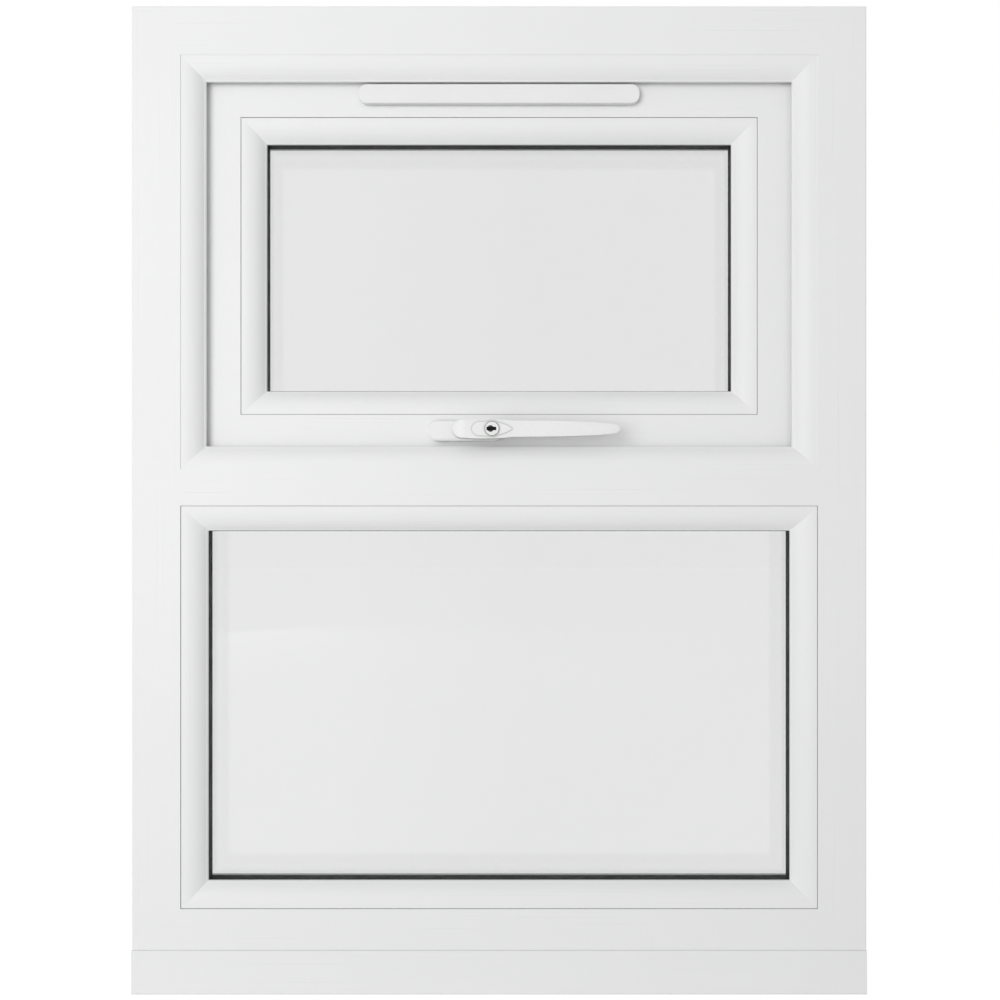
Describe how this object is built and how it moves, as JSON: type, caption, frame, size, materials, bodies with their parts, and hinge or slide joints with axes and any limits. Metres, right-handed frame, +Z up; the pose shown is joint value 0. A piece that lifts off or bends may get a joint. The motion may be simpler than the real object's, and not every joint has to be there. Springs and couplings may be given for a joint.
{
  "type": "top-hung window",
  "caption": "White plastic framed window: a top-hung opening light with handle and trickle vent above a fixed light, on a stub sill.",
  "frame": {"origin": "under the sill, at the middle of the width and of the frame depth", "axes": "+X to the right seen from the room, +Y outdoors, +Z up"},
  "size_m": [0.61, 0.1138, 0.82],
  "materials": {
    "white_plastic": "smooth satin white extrusion",
    "vent_plastic": "smooth white moulding",
    "white_paint": "white powder coat",
    "glass": "clear float",
    "black_rubber": "matt black",
    "spacer_aluminium": "mill finish",
    "packer_plastic": "coloured packers",
    "shoe_plastic": "black nylon",
    "stainless_steel": "ferritic stainless strip",
    "screw_steel": "stainless screws",
    "galvanised_steel": "galvanised tube",
    "zinc_plated_steel": "bright zinc plate",
    "lock_nickel": "nickel plated"
  },
  "bodies": {
    "frame": {"frame_head": "white_plastic", "frame_jamb_left": "white_plastic", "frame_jamb_right": "white_plastic", "frame_bottom_rail": "white_plastic", "frame_seal": "black_rubber", "transom": "white_plastic", "transom_reinforcement": "galvanised_steel", "sill": "white_plastic", "sill_end_caps": "white_plastic", "stay_track_left": "stainless_steel", "stay_track_right": "stainless_steel", "frame_screws": "screw_steel", "keeps": "zinc_plated_steel", "fixed_bead_foot": "white_plastic", "fixed_bead_head": "white_plastic", "fixed_bead_left": "white_plastic", "fixed_bead_right": "white_plastic", "fixed_inner_gasket": "black_rubber", "fixed_inner_pane": "glass", "fixed_outer_gasket": "black_rubber", "fixed_outer_pane": "glass", "fixed_packers": "packer_plastic", "fixed_spacer": "spacer_aluminium"},
    "sash": {"sash_bead_foot": "white_plastic", "sash_bead_head": "white_plastic", "sash_bead_left": "white_plastic", "sash_bead_right": "white_plastic", "sash_bottom_rail": "white_plastic", "sash_head": "white_plastic", "sash_inner_gasket": "black_rubber", "sash_inner_pane": "glass", "sash_outer_gasket": "black_rubber", "sash_outer_pane": "glass", "sash_packers": "packer_plastic", "sash_screws": "screw_steel", "sash_seal": "black_rubber", "sash_spacer": "spacer_aluminium", "sash_stile_left": "white_plastic", "sash_stile_right": "white_plastic", "stay_sash_arm_left": "stainless_steel", "stay_sash_arm_right": "stainless_steel", "lock_gearbox": "zinc_plated_steel", "handle_base": "white_paint", "handle_screws": "screw_steel", "vent_base": "vent_plastic", "vent_canopy": "vent_plastic"},
    "lock_rod": {"lock_rod": "zinc_plated_steel"},
    "handle": {"handle_lever": "white_paint", "spindle": "zinc_plated_steel", "lock_follower": "zinc_plated_steel"},
    "lock_barrel": {"lock_barrel": "lock_nickel"},
    "vent_flap": {"vent_flap": "vent_plastic"},
    "long_arm_left": {"stay_long_arm_left": "stainless_steel"},
    "link_left": {"stay_link_left": "stainless_steel"},
    "short_arm_left": {"stay_short_arm_left": "stainless_steel"},
    "shoe_left": {"stay_shoe_left": "shoe_plastic"},
    "long_arm_right": {"stay_long_arm_right": "stainless_steel"},
    "link_right": {"stay_link_right": "stainless_steel"},
    "short_arm_right": {"stay_short_arm_right": "stainless_steel"},
    "shoe_right": {"stay_shoe_right": "shoe_plastic"}
  },
  "joints": [
    {"name": "long_arm_left_turn", "type": "hinge", "parent": "frame", "child": "long_arm_left", "pos_m": [-0.2585, 0.009, 0.6256], "axis": [1, 0, 0], "range_deg": [-35, 0]},
    {"name": "sash_swing", "type": "hinge", "parent": "long_arm_left", "child": "sash", "pos_m": [-0.2585, 0.009, 0.7106], "axis": [1, 0, 0], "range_deg": [0, 70]},
    {"name": "long_arm_right_turn", "type": "hinge", "parent": "frame", "child": "long_arm_right", "pos_m": [0.2585, 0.009, 0.6256], "axis": [1, 0, 0], "range_deg": [-35, 0]},
    {"name": "link_left_turn", "type": "hinge", "parent": "long_arm_left", "child": "link_left", "pos_m": [-0.2585, 0.009, 0.677], "axis": [1, 0, 0], "range_deg": [0, 70]},
    {"name": "short_arm_left_turn", "type": "hinge", "parent": "sash", "child": "short_arm_left", "pos_m": [-0.2585, 0.009, 0.762], "axis": [1, 0, 0], "range_deg": [-70, 0]},
    {"name": "shoe_left_turn", "type": "hinge", "parent": "short_arm_left", "child": "shoe_left", "pos_m": [-0.2585, 0.009, 0.7284], "axis": [1, 0, 0], "range_deg": [0, 35]},
    {"name": "link_right_turn", "type": "hinge", "parent": "long_arm_right", "child": "link_right", "pos_m": [0.2585, 0.009, 0.677], "axis": [1, 0, 0], "range_deg": [0, 70]},
    {"name": "short_arm_right_turn", "type": "hinge", "parent": "sash", "child": "short_arm_right", "pos_m": [0.2585, 0.009, 0.762], "axis": [1, 0, 0], "range_deg": [-70, 0]},
    {"name": "shoe_right_turn", "type": "hinge", "parent": "short_arm_right", "child": "shoe_right", "pos_m": [0.2585, 0.009, 0.7284], "axis": [1, 0, 0], "range_deg": [0, 35]},
    {"name": "handle_turn", "type": "hinge", "parent": "sash", "child": "handle", "pos_m": [-0.0279, -0.019, 0.4684], "axis": [0, -1, 0], "range_deg": [0, 90]},
    {"name": "key_turn", "type": "hinge", "parent": "handle", "child": "lock_barrel", "pos_m": [-0.0059, -0.045, 0.4684], "axis": [0, -1, 0], "range_deg": [0, 90]},
    {"name": "rod_slide", "type": "slide", "parent": "sash", "child": "lock_rod", "axis": [1, 0, 0], "range_m": [0, 0.018]},
    {"name": "vent_tilt", "type": "hinge", "parent": "sash", "child": "vent_flap", "pos_m": [0, -0.0224, 0.7466], "axis": [1, 0, 0], "range_deg": [0, 25]}
  ],
  "couplings": [
    {"joint": "long_arm_left_turn", "follows": "sash_swing", "ratio": -0.5},
    {"joint": "long_arm_right_turn", "follows": "sash_swing", "ratio": -0.5},
    {"joint": "link_left_turn", "follows": "sash_swing", "ratio": 1},
    {"joint": "short_arm_left_turn", "follows": "sash_swing", "ratio": -1},
    {"joint": "shoe_left_turn", "follows": "sash_swing", "ratio": 0.5},
    {"joint": "link_right_turn", "follows": "sash_swing", "ratio": 1},
    {"joint": "short_arm_right_turn", "follows": "sash_swing", "ratio": -1},
    {"joint": "shoe_right_turn", "follows": "sash_swing", "ratio": 0.5},
    {"joint": "rod_slide", "follows": "handle_turn", "m_per_rad": 0.011459}
  ]
}
